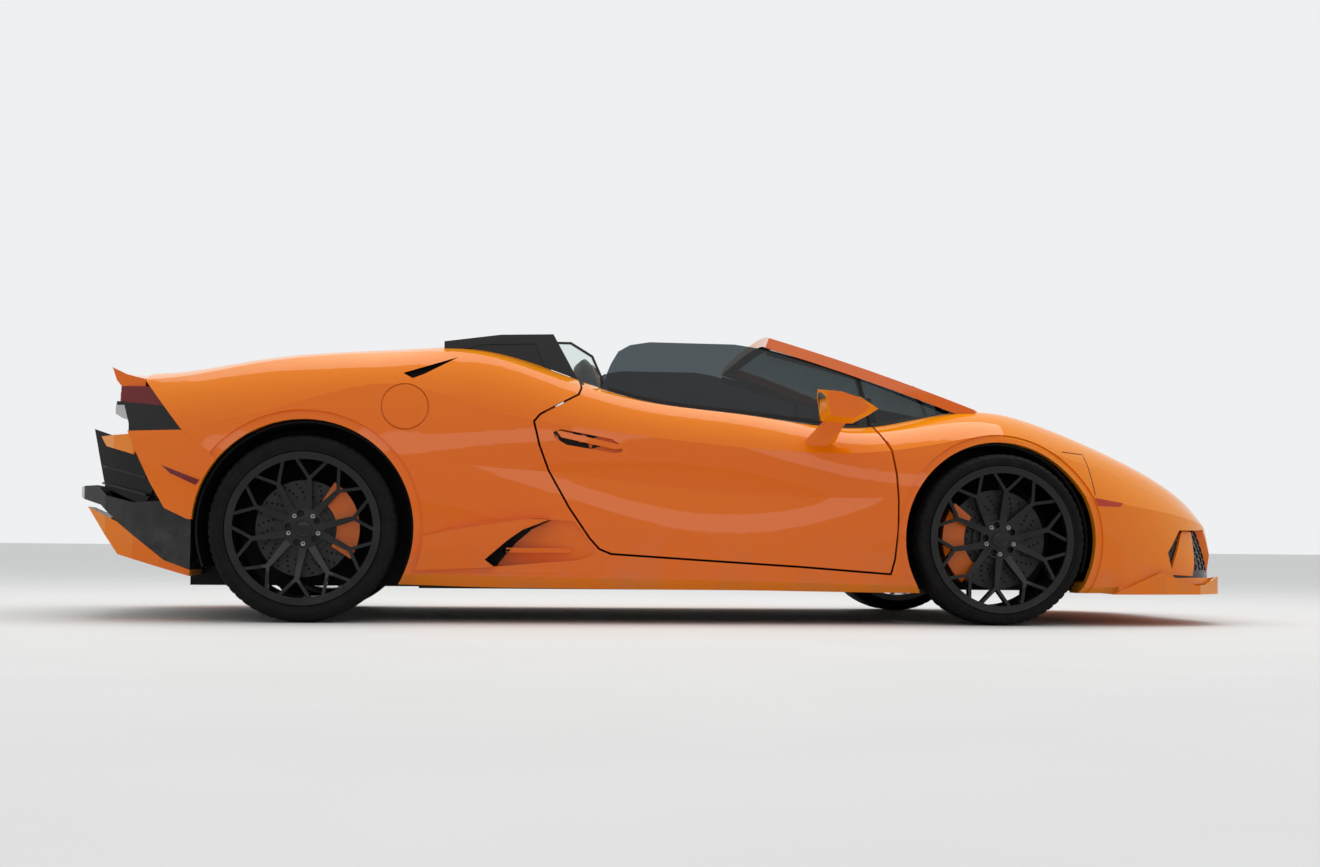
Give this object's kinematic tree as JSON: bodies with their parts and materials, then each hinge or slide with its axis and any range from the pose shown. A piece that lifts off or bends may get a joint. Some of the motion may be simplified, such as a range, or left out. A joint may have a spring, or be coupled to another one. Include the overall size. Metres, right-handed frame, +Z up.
{
  "type": "supercar",
  "caption": "Open-top mid-engined two-seat supercar in glossy orange, with working wheels, steering, doors, bonnet and engine cover.",
  "frame": {"origin": "on the ground under the middle of the overall length and width", "axes": "+X to the nose, +Y to the car's left side, +Z up"},
  "size_m": [4.52, 2.224, 1.1634],
  "materials": {
    "body_paint": "gloss",
    "trim_black": "gloss",
    "lamp_lens": "gloss",
    "tinted_glass": "gloss",
    "clear_glass": "gloss",
    "lamp_red": "gloss",
    "exhaust_steel": "satin",
    "tub_black": "matte",
    "cabin_black": "matte",
    "seat_leather": "satin",
    "wheel_leather": "satin",
    "engine_metal": "satin",
    "arm_metal": "satin",
    "caliper_orange": "gloss",
    "tyre_rubber": "matte",
    "rim_black": "gloss",
    "disc_iron": "satin"
  },
  "bodies": {
    "chassis": {"front_bumper": "body_paint", "front_fenders": "body_paint", "headlamps": "lamp_lens", "side_sills": "body_paint", "rear_quarters": "body_paint", "rear_bumper": "body_paint", "fuel_flap": "body_paint", "deck_fins": "trim_black", "windscreen_frame": "body_paint", "windscreen_glass": "clear_glass", "tail_spoiler": "body_paint", "tail_panel": "trim_black", "tail_lamps": "lamp_red", "rear_mesh": "trim_black", "exhaust": "exhaust_steel", "diffuser": "trim_black", "rear_blades": "body_paint", "chassis_tub": "tub_black", "dashboard": "cabin_black", "seat_left": "seat_leather", "seat_right": "seat_leather", "engine": "engine_metal", "quarter_glass": "tinted_glass", "wheelhouses": "tub_black", "deflector_panes": "clear_glass", "front_grilles": "trim_black", "side_trims": "trim_black", "suspension_arms": "arm_metal", "rear_uprights": "caliper_orange"},
    "knuckle_left": {"knuckle_left": "caliper_orange"},
    "knuckle_right": {"knuckle_right": "caliper_orange"},
    "door_left": {"door_left": "body_paint", "side_glass_left": "tinted_glass", "mirror_left": "body_paint"},
    "door_right": {"door_right": "body_paint", "side_glass_right": "tinted_glass", "mirror_right": "body_paint"},
    "bonnet": {"bonnet": "body_paint"},
    "engine_cover": {"engine_cover": "body_paint"},
    "steering_wheel": {"steering_wheel": "wheel_leather"},
    "wheel_front_left": {"tyre_front_left": "tyre_rubber", "rim_front_left": "rim_black", "disc_front_left": "disc_iron"},
    "wheel_front_right": {"tyre_front_right": "tyre_rubber", "rim_front_right": "rim_black", "disc_front_right": "disc_iron"},
    "wheel_rear_left": {"tyre_rear_left": "tyre_rubber", "rim_rear_left": "rim_black", "disc_rear_left": "disc_iron"},
    "wheel_rear_right": {"tyre_rear_right": "tyre_rubber", "rim_rear_right": "rim_black", "disc_rear_right": "disc_iron"}
  },
  "joints": [
    {"name": "wheel_spin_front_left", "type": "hinge", "parent": "knuckle_left", "child": "wheel_front_left", "pos_m": [1.24, 0.8295, 0.327], "axis": [0, 1, 0], "continuous": true},
    {"name": "wheel_spin_front_right", "type": "hinge", "parent": "knuckle_right", "child": "wheel_front_right", "pos_m": [1.24, -0.8295, 0.327], "axis": [0, 1, 0], "continuous": true},
    {"name": "wheel_spin_rear_left", "type": "hinge", "parent": "chassis", "child": "wheel_rear_left", "pos_m": [-1.38, 0.8045, 0.343], "axis": [0, 1, 0], "continuous": true},
    {"name": "wheel_spin_rear_right", "type": "hinge", "parent": "chassis", "child": "wheel_rear_right", "pos_m": [-1.38, -0.8045, 0.343], "axis": [0, 1, 0], "continuous": true},
    {"name": "steer_right", "type": "hinge", "parent": "chassis", "child": "knuckle_right", "pos_m": [1.24, -0.795, 0.327], "axis": [0, 0, 1], "range_deg": [-33, 33]},
    {"name": "steer_left", "type": "hinge", "parent": "chassis", "child": "knuckle_left", "pos_m": [1.24, 0.795, 0.327], "axis": [0, 0, 1], "range_deg": [-33, 33]},
    {"name": "steering_column", "type": "hinge", "parent": "chassis", "child": "steering_wheel", "pos_m": [0.3, 0.372, 0.735], "axis": [-0.9272, 0, 0.3746], "range_deg": [-455, 455]},
    {"name": "door_swing_right", "type": "hinge", "parent": "chassis", "child": "door_right", "pos_m": [0.747, -0.893, 0.445], "axis": [0, 0, 1], "range_deg": [0, 65]},
    {"name": "door_swing_left", "type": "hinge", "parent": "chassis", "child": "door_left", "pos_m": [0.747, 0.893, 0.445], "axis": [0, 0, -1], "range_deg": [0, 65]},
    {"name": "bonnet_lift", "type": "hinge", "parent": "chassis", "child": "bonnet", "pos_m": [1.302, 0, 0.797], "axis": [0, -1, 0], "range_deg": [0, 60]},
    {"name": "engine_cover_lift", "type": "hinge", "parent": "chassis", "child": "engine_cover", "pos_m": [-1.955, 0, 0.944], "axis": [0, -1, 0], "range_deg": [0, 50]}
  ],
  "couplings": [
    {"joint": "steer_left", "follows": "steer_right", "ratio": 1},
    {"joint": "steering_column", "follows": "steer_right", "ratio": 13}
  ]
}
